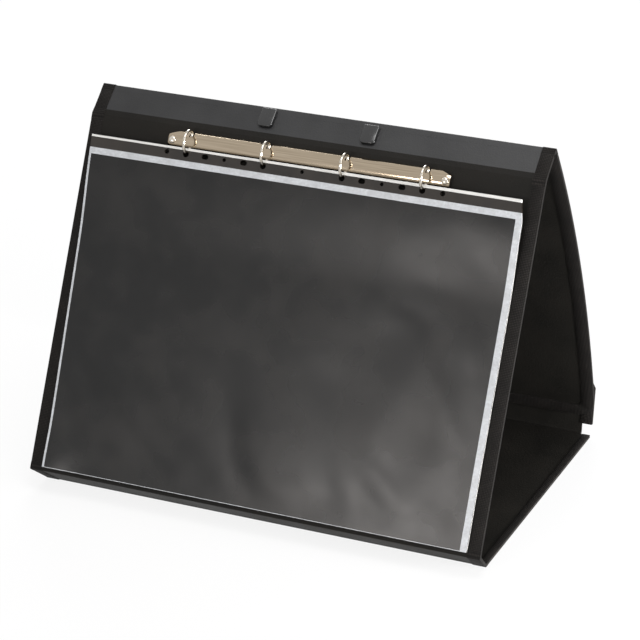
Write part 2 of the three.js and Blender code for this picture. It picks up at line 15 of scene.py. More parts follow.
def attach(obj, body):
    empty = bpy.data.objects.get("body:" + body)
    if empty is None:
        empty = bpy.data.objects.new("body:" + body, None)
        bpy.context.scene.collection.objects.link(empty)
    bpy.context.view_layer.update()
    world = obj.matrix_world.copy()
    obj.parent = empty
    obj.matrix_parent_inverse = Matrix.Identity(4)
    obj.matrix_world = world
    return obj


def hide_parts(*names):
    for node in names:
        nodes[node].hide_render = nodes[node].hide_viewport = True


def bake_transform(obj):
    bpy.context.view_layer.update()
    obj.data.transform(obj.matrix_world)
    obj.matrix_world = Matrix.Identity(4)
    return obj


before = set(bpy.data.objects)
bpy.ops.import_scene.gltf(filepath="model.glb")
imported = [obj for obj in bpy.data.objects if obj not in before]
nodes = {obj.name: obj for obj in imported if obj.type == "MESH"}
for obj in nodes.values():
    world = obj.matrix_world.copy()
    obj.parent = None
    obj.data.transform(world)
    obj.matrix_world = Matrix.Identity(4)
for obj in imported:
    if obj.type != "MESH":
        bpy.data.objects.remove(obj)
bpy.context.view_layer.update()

scene = bpy.context.scene

# %% [markdown]
# ## Camera
# The camera stands a little above the binder and to its right, and looks down by 23.5
# degrees. A long lens keeps the folds nearly parallel, as they are in the photograph.

# %% Camera
CAMERA_PLACE = (0.994504, -2.268005, 1.227095)
CAMERA_YAW = 23.67
CAMERA_PITCH = 23.49
CAMERA_LENS = 157.76
SENSOR_WIDTH = 36

camera_data = bpy.data.cameras.new("camera")
camera_data.sensor_width = SENSOR_WIDTH
camera_data.lens = CAMERA_LENS
camera = bpy.data.objects.new("camera", camera_data)
camera.location = CAMERA_PLACE
camera.rotation_euler = (math.radians(90 - CAMERA_PITCH), 0, math.radians(CAMERA_YAW))
scene.collection.objects.link(camera)
scene.camera = camera
scene.view_settings.view_transform = "Standard"
print("camera lens", camera_data.lens, "mm")

# %% [markdown]
# ## Colour and nodes
# Colours are written as sRGB hex values, as a colour picker shows them. Blender mixes light
# in linear values, so one function turns them. A second one adds a shader node, sets its
# fields and joins its sockets, and every finish below is built with it.

# %% Helpers for finishes
MM = 0.001


def linear(hex_colour):
    channels = [int(hex_colour[i:i + 2], 16) / 255 for i in (1, 3, 5)]
    return [c / 12.92 if c <= 0.04045 else ((c + 0.055) / 1.055) ** 2.4 for c in channels] + [1]


def add_node(tree, kind, inputs=None, **fields):
    node = tree.nodes.new("ShaderNode" + kind)
    for field, value in fields.items():
        setattr(node, field, value)
    for socket, value in (inputs or {}).items():
        if isinstance(value, bpy.types.NodeSocket):
            tree.links.new(value, node.inputs[socket])
        else:
            node.inputs[socket].default_value = value
    return node


def new_finish(name, **constants):
    """A material with its Principled shader, and the constant sockets set on it."""
    material = bpy.data.materials.new(name)
    material.use_nodes = True
    tree = material.node_tree
    shader = tree.nodes["Principled BSDF"]
    for socket, value in constants.items():
        shader.inputs[socket.replace("_", " ")].default_value = value
    return material, tree, shader


def per_metre(millimetres):
    """Scale of a noise or cell pattern whose features are this wide."""
    return 1 / (millimetres * MM)


def wave_scale(millimetres):
    """Scale of a wave pattern that repeats at this distance."""
    return 2 * math.pi / 20 / (millimetres * MM)


def shade(tree, shader, mask, low, high, rough_low, rough_high):
    """Joins a 0 to 1 pattern to the colour and the roughness of a finish."""
    mix = add_node(tree, "Mix", {0: mask, 6: linear(low), 7: linear(high)}, data_type="RGBA")
    tree.links.new(mix.outputs[2], shader.inputs["Base Color"])
    rough = add_node(tree, "MapRange", {"Value": mask, "To Min": rough_low, "To Max": rough_high})
    tree.links.new(rough.outputs["Result"], shader.inputs["Roughness"])


def emboss(tree, shader, height, depth_mm, strength=1.0):
    """Turns a 0 to 1 pattern into relief of this depth."""
    bump = add_node(tree, "Bump", {"Height": height, "Distance": depth_mm * MM,
                                   "Strength": strength})
    tree.links.new(bump.outputs["Normal"], shader.inputs["Normal"])


# %% [markdown]
# ## Covering: black vinyl-coated cloth
# The boards are grey board wrapped in a sheet of black vinyl-coated cloth. It is calendered
# against an engraved roller, so it has a fine pebble grain, a low sheen and no weave. The
# real grain is about 0.8 mm across. It is drawn at 1.6 mm so that it shows in a small render.

# %% Covering materials
GRAIN_MM = 1.6
HANDLING_MM = 70


def grained_vinyl(name, dark, light, rough_low, rough_high, depth_mm, specular):
    material, tree, shader = new_finish(name, Specular_IOR_Level=specular)
    place = add_node(tree, "TexCoord").outputs["Object"]
    pebbles = add_node(tree, "TexVoronoi", {"Vector": place, "Scale": per_metre(GRAIN_MM)},
                       feature="SMOOTH_F1")
    fine = add_node(tree, "TexNoise", {"Vector": place, "Scale": per_metre(0.9), "Detail": 3.0})
    handled = add_node(tree, "TexNoise", {"Vector": place, "Scale": per_metre(HANDLING_MM),
                                          "Detail": 5.0, "Roughness": 0.6})
    relief = add_node(tree, "Math", {0: pebbles.outputs["Distance"], 1: fine.outputs["Fac"]},
                      operation="ADD")
    worn = add_node(tree, "MapRange", {"Value": handled.outputs["Fac"],
                                       "From Min": 0.35, "From Max": 0.7})
    shade(tree, shader, worn.outputs["Result"], dark, light, rough_low, rough_high)
    emboss(tree, shader, relief.outputs[0], depth_mm)
    return material


cover_vinyl = grained_vinyl("calendered_black_vinyl_cloth", "#191816", "#22201d",
                            0.50, 0.62, 0.16, 0.1)
# The spine strip is a heavier grained vinyl with a satin face, so it catches the light
spine_vinyl = grained_vinyl("satin_grained_vinyl_spine", "#1c1c1d", "#272728",
                            0.36, 0.46, 0.07, 0.42)
print("covering grain", GRAIN_MM, "mm")

# %% [markdown]
# ## Binding tape: woven polyester
# The free edges are bound in a narrow woven tape, dyed a brownish black. A plain weave has
# threads that pass over and under each other, so it is two crossed wave patterns. Real threads
# are about 0.5 mm apart. They are drawn 1.5 mm apart so that the weave shows.

# %% Tape material
THREAD_MM = 1.5


def woven_tape(name, dark, light):
    material, tree, shader = new_finish(name, Specular_IOR_Level=0.12)
    place = add_node(tree, "UVMap", uv_map="board").outputs["UV"]
    threads = [add_node(tree, "TexWave", {"Vector": place, "Scale": wave_scale(THREAD_MM),
                                          "Distortion": 0.4, "Detail": 1.0, "Detail Scale": 2.0},
                        bands_direction=direction) for direction in "XY"]
    weave = add_node(tree, "Math", {0: threads[0].outputs["Fac"], 1: threads[1].outputs["Fac"]},
                     operation="MULTIPLY")
    rubbed = add_node(tree, "TexNoise", {"Vector": place, "Scale": per_metre(18), "Detail": 4.0})
    tone = add_node(tree, "Math", {0: weave.outputs[0], 1: rubbed.outputs["Fac"]},
                    operation="MULTIPLY")
    shade(tree, shader, tone.outputs[0], dark, light, 0.72, 0.6)
    emboss(tree, shader, weave.outputs[0], 0.25)
    return material


binding_tape = woven_tape("woven_polyester_binding_tape", "#100f0e", "#3d3835")
print("tape threads", THREAD_MM, "mm apart")

# %% [markdown]
# ## Ring metal: nickel-plated steel
# Rings and rails are stamped or bent from steel and nickel plated. Nickel is a warm grey metal.
# The plate was rolled along its length before plating, so its faint lines run lengthwise.

# %% Metal materials
def nickel_finish(name, dark, light, rough_low, rough_high, lines, depth_mm):
    material, tree, shader = new_finish(name, Metallic=1.0)
    place = add_node(tree, "TexCoord").outputs["Object"]
    stretch = add_node(tree, "Mapping", {"Vector": place, "Scale": (lines, 1.0, 1.0)})
    drawn = add_node(tree, "TexNoise", {"Vector": stretch.outputs["Vector"],
                                        "Scale": per_metre(1.4), "Detail": 4.0})
    shade(tree, shader, drawn.outputs["Fac"], dark, light, rough_low, rough_high)
    emboss(tree, shader, drawn.outputs["Fac"], depth_mm)
    return material


rolled_nickel = nickel_finish("nickel_plated_rolled_steel", "#8d7f6c", "#b9ab97",
                              0.06, 0.13, 0.03, 0.004)
bright_nickel = nickel_finish("nickel_plated_round_wire", "#a39a8c", "#ded8ce",
                              0.06, 0.14, 0.3, 0.004)
print("metals", rolled_nickel.name, bright_nickel.name)

# %% [markdown]
# ## Sleeves: clear polypropylene film over black paper
# Each sleeve is a pocket of clear cast film with a black sheet inside. Through the film one
# sees black, and on top of it a glossy skin with soft wrinkles. Where the film is welded, it
# turns milky, with streaks along the weld. The same milky finish on a thin band along the
# sleeve's foot is a painted highlight line. Cut edges of many films look pale grey.

# %% Sleeve materials
sleeve_film, tree, shader = new_finish("clear_polypropylene_over_black", Coat_Weight=0.12,
                                       Coat_Roughness=0.26, Specular_IOR_Level=0.25)
place = add_node(tree, "TexCoord").outputs["Object"]
cling = add_node(tree, "TexNoise", {"Vector": place, "Scale": per_metre(45), "Detail": 2.0,
                                    "Roughness": 0.5, "Distortion": 0.2})
clung = add_node(tree, "MapRange", {"Value": cling.outputs["Fac"],
                                    "From Min": 0.4, "From Max": 0.7})
shade(tree, shader, clung.outputs["Result"], "#0e0e0e", "#181716", 0.24, 0.32)
ripple = add_node(tree, "TexNoise", {"Vector": place, "Scale": per_metre(14), "Detail": 2.0})
emboss(tree, shader, ripple.outputs["Fac"], 0.1, 0.5)

# The milky weld finish also goes on a thin band at the sleeve's foot, as a painted highlight line
weld_and_highlight_film, tree, shader = new_finish("welded_milky_polypropylene_and_painted_highlight", Specular_IOR_Level=0.5)
place = add_node(tree, "UVMap", uv_map="board").outputs["UV"]
along = add_node(tree, "Mapping", {"Vector": place, "Scale": (0.6, 0.7, 1.0)})
streaks = add_node(tree, "TexNoise", {"Vector": along.outputs["Vector"],
                                      "Scale": per_metre(1.6), "Detail": 3.0})
patches = add_node(tree, "TexNoise", {"Vector": place, "Scale": per_metre(9), "Detail": 3.0})
milk = add_node(tree, "Math", {0: streaks.outputs["Fac"], 1: patches.outputs["Fac"]},
                operation="MULTIPLY")
cloudy = add_node(tree, "MapRange", {"Value": milk.outputs[0],
                                     "From Min": 0.1, "From Max": 0.4})
shade(tree, shader, cloudy.outputs["Result"], "#adafb2", "#c6c9cd", 0.42, 0.3)
emboss(tree, shader, streaks.outputs["Fac"], 0.15)

# This pale finish also goes on the top band of the punched strip, where it is partly the films'
# pale cut edges and partly a painted highlight along the top edge
edges_and_highlight_film, tree, shader = new_finish("stacked_cut_film_edges_and_painted_highlight", Specular_IOR_Level=0.5)
place = add_node(tree, "TexCoord").outputs["Object"]
layers = add_node(tree, "Mapping", {"Vector": place, "Scale": (0.05, 1.0, 1.0)})
stacked = add_node(tree, "TexNoise", {"Vector": layers.outputs["Vector"],
                                      "Scale": per_metre(0.8), "Detail": 2.0})
shade(tree, shader, stacked.outputs["Fac"], "#b5b4b1", "#f2f1ee", 0.3, 0.4)
emboss(tree, shader, stacked.outputs["Fac"], 0.1)

strip_film, tree, shader = new_finish("punched_strip_of_smoked_film", Coat_Weight=0.2,
                                      Coat_Roughness=0.1, Specular_IOR_Level=0.3)
place = add_node(tree, "TexCoord").outputs["Object"]
haze = add_node(tree, "TexNoise", {"Vector": place, "Scale": per_metre(25), "Detail": 4.0})
shade(tree, shader, haze.outputs["Fac"], "#131211", "#302a24", 0.18, 0.3)
emboss(tree, shader, haze.outputs["Fac"], 0.3)
print("sleeve finishes made")

# %% [markdown]
# ## Moulded plastic and hook-and-loop
# The handle's stops are injection-moulded ABS with a polished face. The strap is softer
# polypropylene with a fine spark-eroded texture. The pads are nylon hooks and loops, whose
# tiny bristles scatter light, so they are rough, with a bump of round dots 1.6 mm apart.

# %% Plastic and pad materials
polished_abs, tree, shader = new_finish("polished_black_abs", Coat_Weight=0.3,
                                        Coat_Roughness=0.06, Specular_IOR_Level=0.55)
place = add_node(tree, "TexCoord").outputs["Object"]
marks = add_node(tree, "TexNoise", {"Vector": place, "Scale": per_metre(6), "Detail": 5.0})
shade(tree, shader, marks.outputs["Fac"], "#0d0d0e", "#161617", 0.12, 0.26)
emboss(tree, shader, marks.outputs["Fac"], 0.02)

textured_pp, tree, shader = new_finish("spark_textured_polypropylene", Specular_IOR_Level=0.4)
place = add_node(tree, "TexCoord").outputs["Object"]
sparks = add_node(tree, "TexNoise", {"Vector": place, "Scale": per_metre(1.2), "Detail": 5.0})
shade(tree, shader, sparks.outputs["Fac"], "#131313", "#232323", 0.4, 0.56)
emboss(tree, shader, sparks.outputs["Fac"], 0.12)

nylon_pads, tree, shader = new_finish("nylon_hook_and_loop", Specular_IOR_Level=0.2,
                                      Sheen_Weight=0.5, Sheen_Roughness=0.6)
place = add_node(tree, "TexCoord").outputs["Object"]
hooks = add_node(tree, "TexVoronoi", {"Vector": place, "Scale": per_metre(1.6)})
shade(tree, shader, hooks.outputs["Distance"], "#101010", "#353535", 0.85, 0.95)
emboss(tree, shader, hooks.outputs["Distance"], 0.5)
print("plastic and pad finishes made")

# %% [markdown]
# ## Boards as places
# Every board is modelled flat, in millimetres: X along the fold, Y along the board, Z out of
# its face. One matrix then turns it to its angle and moves it to its fold. The numbers are the
# folds of the CAD model. What spans two boards is modelled in the object's own millimetres.

# %% Board places
# Y and Z of each fold, and the angle of each board in degrees
FRONT = (-140.046, 1.8)
REAR = (160.254, 1.8)
LOWER = (-165.481, 22.032)
UPPER = (-17.069, 334.586)
TOP = (7.644, 355.693)
FLAP_ANGLE = 82.5
FORE_EDGE_ANGLE = 141.5
RING_PANEL_ANGLE = 64.6
SPINE_ANGLE = 40.5
COVER_ANGLE = -65.7


def board_place(fold, degrees):
    shift = Matrix.Translation((0, fold[0] * MM, fold[1] * MM))
    return shift @ Matrix.Rotation(math.radians(degrees), 4, "X") @ Matrix.Scale(MM, 4)


ALONG = (1, 0, 0)
ACROSS = (0, 1, 0)
# An edge whose faces turn by more radians than this is sharp, and gets rounded
SHARP_TURN = 0.6
PLACE = {
    "base": board_place(FRONT, 0),
    "rear_flap": board_place(REAR, FLAP_ANGLE),
    "fore_edge": board_place(FRONT, FORE_EDGE_ANGLE),
    "ring_panel": board_place(LOWER, RING_PANEL_ANGLE),
    "spine": board_place(UPPER, SPINE_ANGLE),
    "cover": board_place(TOP, COVER_ANGLE),
    "object": Matrix.Scale(MM, 4),
}


def make_piece(name, mesh, body, materials, sharp=35):
    """Places a flat model on its board, gives it a map in metres, and makes it a piece."""
    bmesh.ops.recalc_face_normals(mesh, faces=mesh.faces)
    board = mesh.loops.layers.uv.get("board") or mesh.loops.layers.uv.new("board")
    for face in mesh.faces:
        face.smooth = True
        for loop in face.loops:
            loop[board].uv = (loop.vert.co.x * MM, loop.vert.co.y * MM)
    bmesh.ops.transform(mesh, matrix=PLACE[body], verts=mesh.verts)
    data = bpy.data.meshes.new(name)
    mesh.to_mesh(data)
    mesh.free()
    data.set_sharp_from_angle(angle=math.radians(sharp))
    for material in materials:
        data.materials.append(material)
    piece = bpy.data.objects.new(name, data)
    scene.collection.objects.link(piece)
    if body != "object":
        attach(piece, body)
    print(name, "faces", len(data.polygons))
    return piece


def cut(mesh, place_on, direction, clear_behind=False):
    """Cuts every face at a plane, and can clear what lies behind it."""
    bmesh.ops.bisect_plane(mesh, geom=mesh.verts[:] + mesh.edges[:] + mesh.faces[:],
                           plane_co=place_on, plane_no=direction, clear_inner=clear_behind)


def thicken(mesh, faces, shift):
    """Makes an open sheet solid: a copy of its faces is moved, and their rims are joined."""
    moved = bmesh.ops.extrude_face_region(mesh, geom=faces, use_keep_orig=True)
    bmesh.ops.translate(mesh, vec=shift,
                        verts=[v for v in moved["geom"] if isinstance(v, bmesh.types.BMVert)])


def sheet_from_outline(points, height):
    """One flat face at this height."""
    mesh = bmesh.new()
    mesh.faces.new([mesh.verts.new((x, y, height)) for x, y in points])
    return mesh


def raise_from_outline(points, half, rows=()):
    """A flat outline, cut at rows, and raised to this half thickness on both sides."""
    mesh = sheet_from_outline(points, -half)
    for y in rows:
        cut(mesh, (0, y, 0), ACROSS)
    thicken(mesh, mesh.faces[:], (0, 0, 2 * half))
    return mesh


def soften(mesh, width, segments=2, edges=None):
    """Rounds the sharp edges, as wrapping and moulding do."""
    if edges is None:
        edges = [e for e in mesh.edges if e.is_manifold and e.calc_face_angle(0) > SHARP_TURN]
    bmesh.ops.bevel(mesh, geom=edges, offset=width, affect="EDGES", segments=segments,
                    profile=0.5, material=-1, clamp_overlap=True)


def corner(x, y, radius, start, steps=8):
    """Points round a corner whose arc has its centre at x, y."""
    return [(x + radius * math.cos(math.radians(start + 90 * i / steps)),
             y + radius * math.sin(math.radians(start + 90 * i / steps)))
            for i in range(steps + 1)]


# %% [markdown]
# ## Bowed cover
# The cover is sprung into a shallow bow, because it is longer than the straight line between
# its fold and the flap. A flat outline with two rounded corners is cut across into rows and
# then each point is carried onto an arc. Smooth shading makes the arc read as one curve.

# %% Cover board
COVER_CHORD = 364
COVER_BOW = 17
PANEL_HALF = 230
COVER_CORNER = 18
COVER_START = 1.5
COVER_ROWS = 40
BOARD_HALF = 1.0
TAPE_HALF = 1.55
BOW_RADIUS = (COVER_CHORD ** 2 / 4 + COVER_BOW ** 2) / (2 * COVER_BOW)
BOW_REACH = math.asin(COVER_CHORD / 2 / BOW_RADIUS)
COVER_LENGTH = 2 * BOW_REACH * BOW_RADIUS


def bend_onto_bow(mesh):
    for vert in mesh.verts:
        angle = vert.co.y / BOW_RADIUS - BOW_REACH
        radius = BOW_RADIUS + vert.co.z
        vert.co.y = COVER_CHORD / 2 + radius * math.sin(angle)
        vert.co.z = COVER_BOW - BOW_RADIUS + radius * math.cos(angle)


def cover_outline(margin, start):
    half = PANEL_HALF + margin
    end = COVER_LENGTH + margin
    radius = COVER_CORNER + margin
    return ([(-half, start), (half, start)] + corner(half - radius, end - radius, radius, 0)
            + corner(-half + radius, end - radius, radius, 90))


bow_rows = [COVER_LENGTH * i / COVER_ROWS for i in range(1, COVER_ROWS)]
mesh = raise_from_outline(cover_outline(0, COVER_START), BOARD_HALF, bow_rows)
bend_onto_bow(mesh)
cover_board = make_piece("cover_board", mesh, "cover", [cover_vinyl])
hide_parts("cover_panel")

# %% [markdown]
# ## Tape round the cover and the flap
# The tape is a U-shaped band folded over an edge. Its flat outline is inset by the tape's width,
# and the middle and the end beyond the fold are cut away, which leaves a band on three sides.
# Its long edges are then softened, since folded tape has no sharp edge.

# %% Cover tape
TAPE_WIDTH = 12
TAPE_PROUD = 0.8
BAND_EDGE = 0.4
BEYOND_FOLD = -30
COVER_TAPE_START = 7


def band_from_outline(points, start, rows):
    mesh = sheet_from_outline(points, -TAPE_HALF)
    mesh.normal_update()
    inner = mesh.faces[:]
    bmesh.ops.inset_region(mesh, faces=inner, thickness=TAPE_WIDTH + TAPE_PROUD,
                           use_even_offset=True, use_boundary=True)
    bmesh.ops.delete(mesh, geom=inner, context="FACES_ONLY")
    cut(mesh, (0, start, 0), ACROSS, clear_behind=True)
    for y in rows:
        cut(mesh, (0, y, 0), ACROSS)
    thicken(mesh, mesh.faces[:], (0, 0, 2 * TAPE_HALF))
    soften(mesh, BAND_EDGE)
    return mesh


mesh = band_from_outline(cover_outline(TAPE_PROUD, BEYOND_FOLD), COVER_TAPE_START, bow_rows[1:])
bend_onto_bow(mesh)
cover_binding = make_piece("cover_binding", mesh, "cover", [binding_tape])
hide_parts("cover_tape")

# %% Flap tape
BASE_HALF = 226.5
FLAP_END = 58 + TAPE_PROUD
FLAP_CORNER = 5.6
FLAP_TOP_HALF = BASE_HALF - FLAP_CORNER
FLAP_SHOULDER = 48.3
FLAP_TAPE_START = 10.3
flap_half = BASE_HALF + TAPE_PROUD
flap_corners = [(-flap_half, BEYOND_FOLD), (flap_half, BEYOND_FOLD),
                (flap_half, FLAP_SHOULDER), (FLAP_TOP_HALF, FLAP_END),
                (-FLAP_TOP_HALF, FLAP_END), (-flap_half, FLAP_SHOULDER)]
mesh = band_from_outline(flap_corners, FLAP_TAPE_START, [])
flap_binding = make_piece("flap_binding", mesh, "rear_flap", [binding_tape])
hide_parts("flap_tape")

# %% [markdown]
# ## Tape down the straight sides
# The other boards have one straight band on each side. Each is a soft-edged bar that holds the
# board's edge inside it, from near one fold to near the next.

# %% Straight tapes
SIDE_EDGE = 0.45


def side_band(start_half, end_half, start, end, width, side):
    outer = [side * (start_half + TAPE_PROUD), side * (end_half + TAPE_PROUD)]
    inner = [side * (start_half - width), side * (end_half - width)]
    points = [(inner[0], start), (outer[0], start), (outer[1], end), (inner[1], end)]
    mesh = raise_from_outline(points, TAPE_HALF)
    soften(mesh, SIDE_EDGE)
    return mesh


# Board, half width at its start and at its end, start, end, and width of the band
SIDE_BANDS = [
    ("base", BASE_HALF, BASE_HALF, 5, 295.3, 6.5),
    ("fore_edge", 226.9, 229.6, 5, 27.5, TAPE_WIDTH),
    ("ring_panel", PANEL_HALF, PANEL_HALF, 5, 341, TAPE_WIDTH),
    ("spine", PANEL_HALF, PANEL_HALF, 5, 27.5, TAPE_WIDTH),
]
for board, start_half, end_half, start, end, width in SIDE_BANDS:
    for word, side in (("left", -1), ("right", 1)):
        mesh = side_band(start_half, end_half, start, end, width, side)
        band = make_piece(f"{board}_binding_{word}", mesh, board, [binding_tape])
        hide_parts(f"{board}_tape_{word}")

# %% [markdown]
# ## Covering over the folds
# One sheet of vinyl runs over all the boards, and between two boards it is the hinge. Here each
# fold gets a bridge with a V-shaped section: straight on both boards and rounded round the fold.
# It is built where the boards stand now and is not attached to either board. The tape crosses the
# fold too, so each end of the bridge is a second, slightly thicker V. The spine's satin strip
# reaches the top fold, but it ends above the upper one.

# %% Fold bridges
BRIDGE_REACH = 5.6
TOP_TAPE_REACH = 7.5
FILM_HALF = BOARD_HALF + 0.06
FOLD_TAPE_HALF = TAPE_HALF - 0.05
REAR_NOTCH = 10
ARC_STEPS = 8
INNER_STEPS = 4
# How far along a board the inside of a fold is round, and the least that it may be
INNER_ROUND = 1.5
LEAST_ROUND = 1.2


def toward(degrees):
    return Vector((0, math.cos(math.radians(degrees)), math.sin(math.radians(degrees))))


def fold_section(fold, one, other, half, reach):
    """Closed YZ section: along one board, round the fold, along the other, and back inside."""
    centre = Vector((0, fold[0], fold[1]))
    inward = (one + other).normalized()
    sides = []
    for board in (one, other):
        out = Vector((0, -board.z, board.y))
        sides.append(out if out.dot(inward) < 0 else -out)
    arc = [sides[0].slerp(sides[1], i / ARC_STEPS) * half for i in range(ARC_STEPS + 1)]
    inner = inward * (half / math.sin(one.angle(other) / 2))
    points = [one * reach + sides[0] * half] + arc + [other * reach + sides[1] * half]
    points += [other * reach - sides[1] * half]
    away = max(inner.length * INNER_ROUND, LEAST_ROUND)
    ends = [other * away - sides[1] * half, one * away - sides[0] * half]
    for i in range(INNER_STEPS + 1):
        t = i / INNER_STEPS
        points.append(ends[0] * (1 - t) ** 2 + inner * 2 * t * (1 - t) + ends[1] * t ** 2)
    points += [one * reach - sides[0] * half]
    return [centre + point for point in points]


def bridge(name, fold, one, other, spans, half, reach, finishes):
    mesh = bmesh.new()
    for from_x, to_x in spans:
        section = [mesh.verts.new((from_x, p.y, p.z))
                   for p in fold_section(fold, one, other, half, reach)]
        thicken(mesh, [mesh.faces.new(section)], (to_x - from_x, 0, 0))
    centre = Vector((0, fold[0], fold[1]))
    for face in mesh.faces:
        away = face.calc_center_median() - centre
        face.material_index = 1 if away.dot(other) > away.dot(one) and len(finishes) > 1 else 0
    piece = make_piece(name, mesh, "object", finishes, sharp=50)
    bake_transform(piece)
    return piece


COVER_START_ANGLE = COVER_ANGLE + math.degrees(BOW_REACH)
# Fold, its two boards, its place, the way along each board, and half its length
FOLDS = [
    ("front", "base", "fore_edge", FRONT, toward(0), toward(FORE_EDGE_ANGLE), BASE_HALF),
    ("lower", "fore_edge", "ring_panel", LOWER, toward(FORE_EDGE_ANGLE + 180),
     toward(RING_PANEL_ANGLE), PANEL_HALF),
    ("upper", "ring_panel", "spine", UPPER, toward(RING_PANEL_ANGLE + 180),
     toward(SPINE_ANGLE), PANEL_HALF),
    ("top", "spine", "cover", TOP, toward(SPINE_ANGLE + 180),
     toward(COVER_START_ANGLE), PANEL_HALF),
]
for word, body_one, body_other, fold, one, other, half in FOLDS:
    film = bridge(f"covering_over_{word}_fold", fold, one, other,
                  [(-half, half)], FILM_HALF, BRIDGE_REACH,
                  [spine_vinyl, cover_vinyl] if word == "top" else [cover_vinyl])
    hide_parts(f"fold_cord_{word}")
    tape_reach = TOP_TAPE_REACH if word == "top" else BRIDGE_REACH
    bridge(f"tape_over_{word}_fold", fold, one, other,
           [(-half - TAPE_PROUD, -half + TAPE_WIDTH), (half - TAPE_WIDTH, half + TAPE_PROUD)],
           FOLD_TAPE_HALF, tape_reach, [binding_tape])

rear_half = BASE_HALF - REAR_NOTCH
film = bridge("covering_over_rear_fold", REAR, toward(180),
              toward(FLAP_ANGLE), [(-rear_half, rear_half)], FILM_HALF, BRIDGE_REACH,
              [cover_vinyl])
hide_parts("fold_cord_rear")

# %% [markdown]
# ## Sleeves
# The front sleeve is a thin sheet that lies on the pages and climbs to the punched strip on
# the rings. Film never lies quite flat, so the sheet has broad shallow wrinkles from a noise.
# Columns and rows are cut where the welds start and where a painted highlight line along the
# foot ends, so both are faces with the milky weld finish.

# %% Front sleeve
SLEEVE_HALF = 217
SLEEVE_BOTTOM = 3.4
STRIP_LOW = 313.2
STRIP_TOP = 325.4
PAGE_TOP = 6.3
STRIP_MIDDLE = 9.7
STRIP_HALF = 1.5
RAMP_START = 223
WELD_LOW = 307
RIGHT_WELD = 211.0
LEFT_WELD = -214.9
# Top of the thin band along the foot that gets the weld finish, as a painted highlight line
FOOT_HIGHLIGHT_LINE = 3.9
FILM_THICKNESS = 0.6
# Width and length of the broad waves and of the diagonal folds, and their slices of the noise
BROAD_WAVE = (80, 90)
DIAGONAL_FOLD = (42, 90)
BROAD_SLICE = 3.1
DIAGONAL_SLICE = 8.7
BROAD_HEIGHT = 0.25
# How far the film is loose from its foot, its right side and its left side
LOOSE_FOOT = 120
LOOSE_RIGHT = 110
LOOSE_LEFT = 45
LEFT_SHARE = 0.6
MOST_LOOSE = 1.2
LOOSE_BROAD = 0.45
LOOSE_DIAGONAL = 0.6
WELD_FADE = 25
CURL_HEIGHT = 3.2
CURL_REACH = (26, 30)
# Where the sides of the pack lie off centre at its foot, and how much they move by its top
LEFT_FOOT = 2.5
LEFT_LEAN = -7.5
RIGHT_FOOT = 1.0
RIGHT_LEAN = -4.0
RIGHT_LEAN_START = 0.94


def climb(y):
    t = min(max((y - RAMP_START) / (STRIP_LOW - RAMP_START), 0), 1)
    return t * t * (3 - 2 * t)


def wrinkle(x, y):
    """Shallow height of the film, flat at the welds, with its lower left corner curled up."""
    from_left = x + SLEEVE_HALF
    from_foot = y - SLEEVE_BOTTOM
    wide, tall = BROAD_WAVE
    broad = noise.noise(Vector((x / wide, y / tall, BROAD_SLICE)))
    wide, tall = DIAGONAL_FOLD
    fold = noise.noise(Vector(((x + y) / wide + broad, (y - x) / tall, DIAGONAL_SLICE)))
    loose = (math.exp(-(y / LOOSE_FOOT) ** 2)
             + math.exp(-((SLEEVE_HALF - x) / LOOSE_RIGHT) ** 2)
             + LEFT_SHARE * math.exp(-(from_left / LOOSE_LEFT) ** 2))
    edge = min(abs(from_left), abs(RIGHT_WELD - x), from_foot, WELD_LOW - y)
    fade = min(max(edge / WELD_FADE, 0), 1)
    wide, tall = CURL_REACH
    curl = CURL_HEIGHT * math.exp(-(from_left / wide) ** 2 - (from_foot / tall) ** 2)
    slack = min(loose, MOST_LOOSE) * (LOOSE_BROAD * broad + LOOSE_DIAGONAL * fold)
    return (BROAD_HEIGHT * broad + slack) * fade + curl


def skew(x, y):
    """How far the pack hangs to the left at its top and to the right at its foot."""
    t = y / STRIP_TOP
    at_left = LEFT_FOOT + LEFT_LEAN * t
    leaning = max(t - RIGHT_LEAN_START, 0) / (1 - RIGHT_LEAN_START)
    at_right = RIGHT_FOOT + RIGHT_LEAN * leaning
    across = (x + SLEEVE_HALF) / (2 * SLEEVE_HALF)
    return at_left * (1 - across) + at_right * across


def grid_sheet(half, start, end, columns, rows):
    """A flat sheet of small faces, ready to be shaped."""
    mesh = bmesh.new()
    bmesh.ops.create_grid(mesh, x_segments=columns, y_segments=rows, size=1)
    bmesh.ops.scale(mesh, vec=(half, (end - start) / 2, 1), verts=mesh.verts)
    bmesh.ops.translate(mesh, vec=(0, (end + start) / 2, 0), verts=mesh.verts)
    return mesh


mesh = grid_sheet(SLEEVE_HALF, SLEEVE_BOTTOM, STRIP_LOW, columns=96, rows=72)
for x in (RIGHT_WELD, LEFT_WELD):
    cut(mesh, (x, 0, 0), ALONG)
for y in (WELD_LOW, FOOT_HIGHLIGHT_LINE):
    cut(mesh, (0, y, 0), ACROSS)
# Welds and the thin band at the foot get the milky finish; at the foot it is a painted highlight
for face in mesh.faces:
    middle = face.calc_center_median()
    on_side = middle.x > RIGHT_WELD or middle.x < LEFT_WELD
    face.material_index = 1 if on_side or middle.y > WELD_LOW or middle.y < FOOT_HIGHLIGHT_LINE else 0
for vert in mesh.verts:
    x, y = vert.co.x, vert.co.y
    lift = (STRIP_MIDDLE + STRIP_HALF - PAGE_TOP) * climb(y)
    vert.co.z = PAGE_TOP + lift + wrinkle(x, y)
    vert.co.x += skew(x, y)
thicken(mesh, mesh.faces[:], (0, 0, -FILM_THICKNESS))
make_piece("front_sleeve", mesh, "ring_panel", [sleeve_film, weld_and_highlight_film], sharp=60)

# %% [markdown]
# ## Pages behind the front sleeve
# About twenty sleeves lie behind the first. Five thicker sheets with slightly different edges
# give the same stepped look at the sides, and keep the mesh light.

